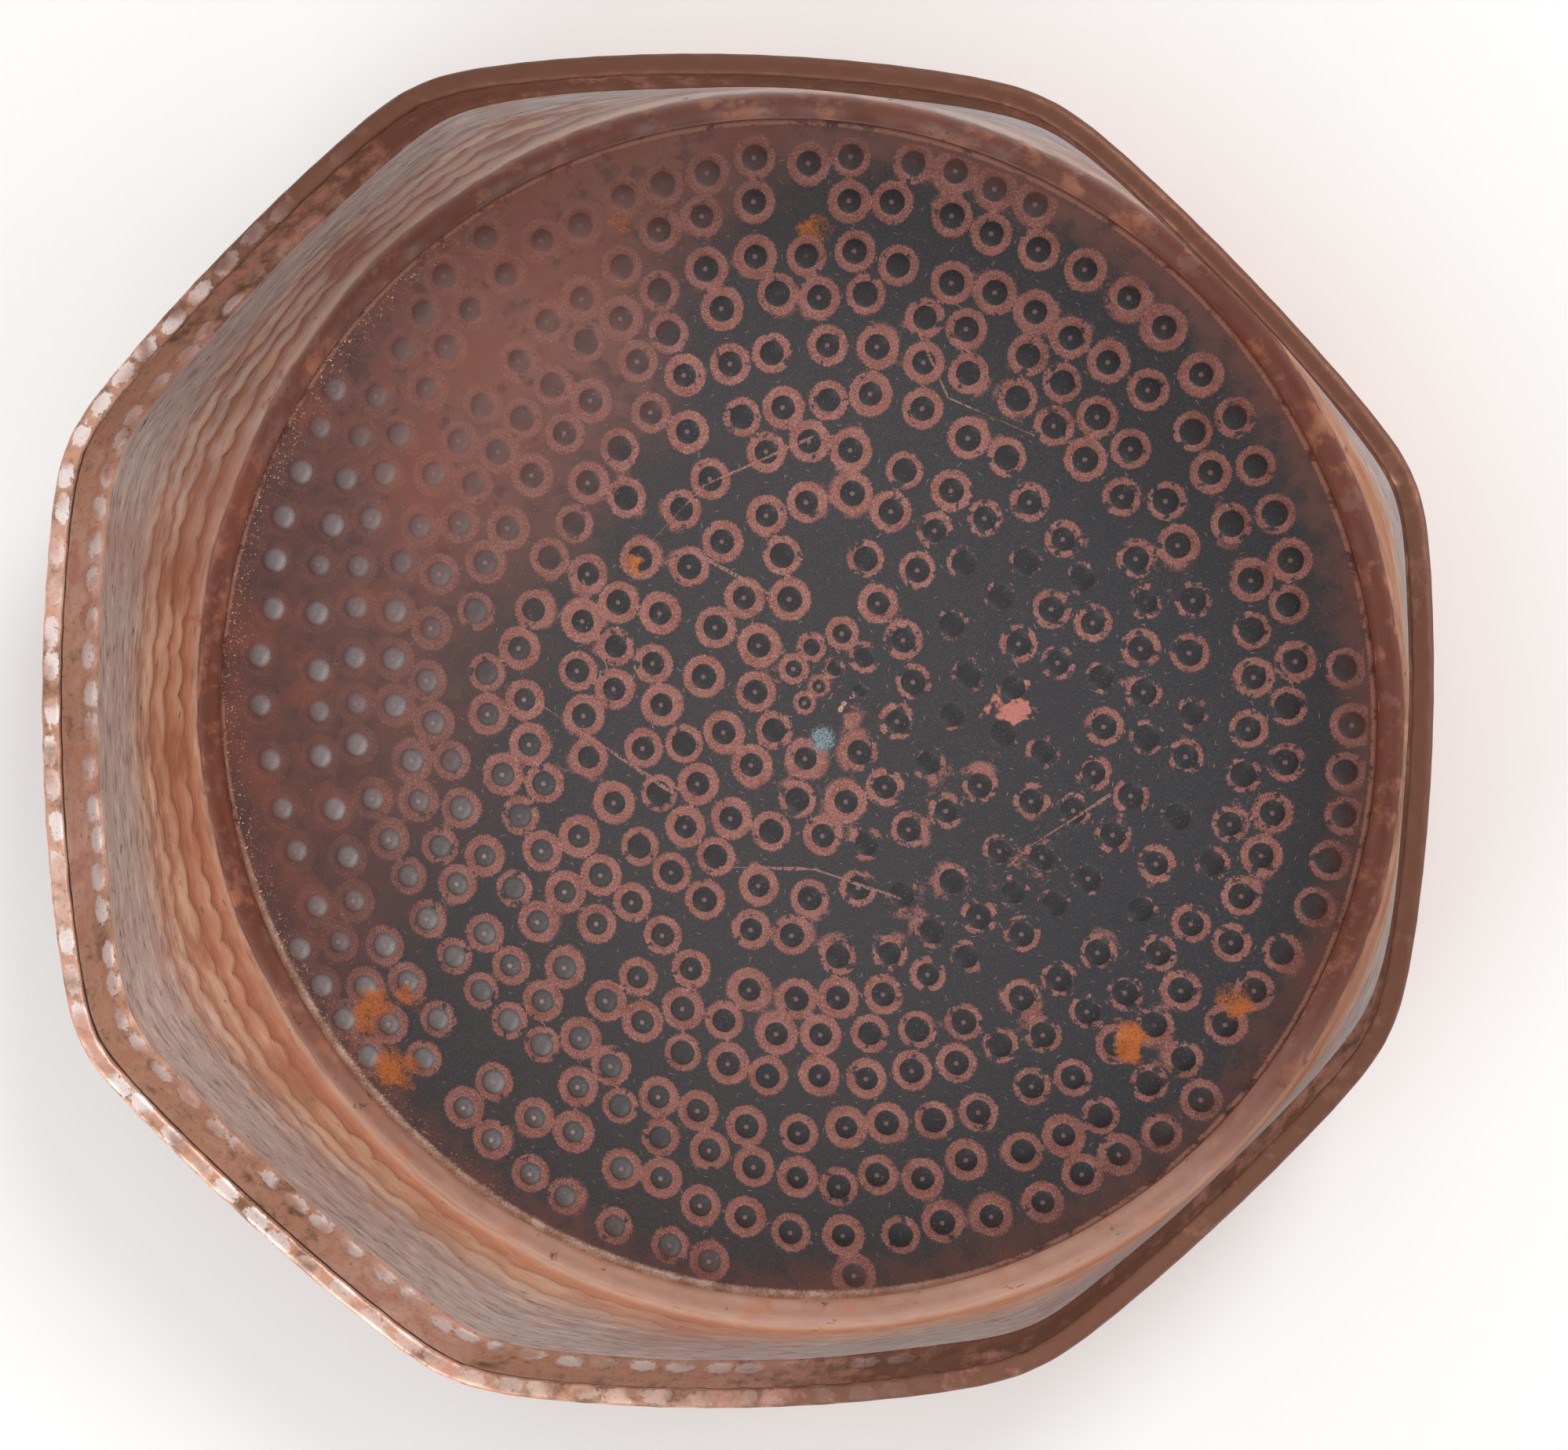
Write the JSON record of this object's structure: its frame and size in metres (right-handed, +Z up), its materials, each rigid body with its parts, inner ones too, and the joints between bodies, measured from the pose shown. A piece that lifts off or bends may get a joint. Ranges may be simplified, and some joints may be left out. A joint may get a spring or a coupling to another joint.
{
  "type": "hammered copper tray",
  "caption": "Deep round copper tray with a dimpled floor, hammered wall, uneven octagonal rim and an edge rolled inward over a stiffening wire.",
  "frame": {"origin": "on the surface the tray stands on, under the middle of the rim's outline", "axes": "+Z up out of the tray, +X and +Y along the rim's long and short widths"},
  "size_m": [0.397, 0.379, 0.0679],
  "materials": {
    "copper": "hammered copper with a dark brown to grey-black patina on the floor",
    "wire": "plain drawn iron wire, hidden in the rolled edge"
  },
  "bodies": {
    "root": {"tray_body": "copper", "rim_wire": "wire"}
  },
  "joints": []
}
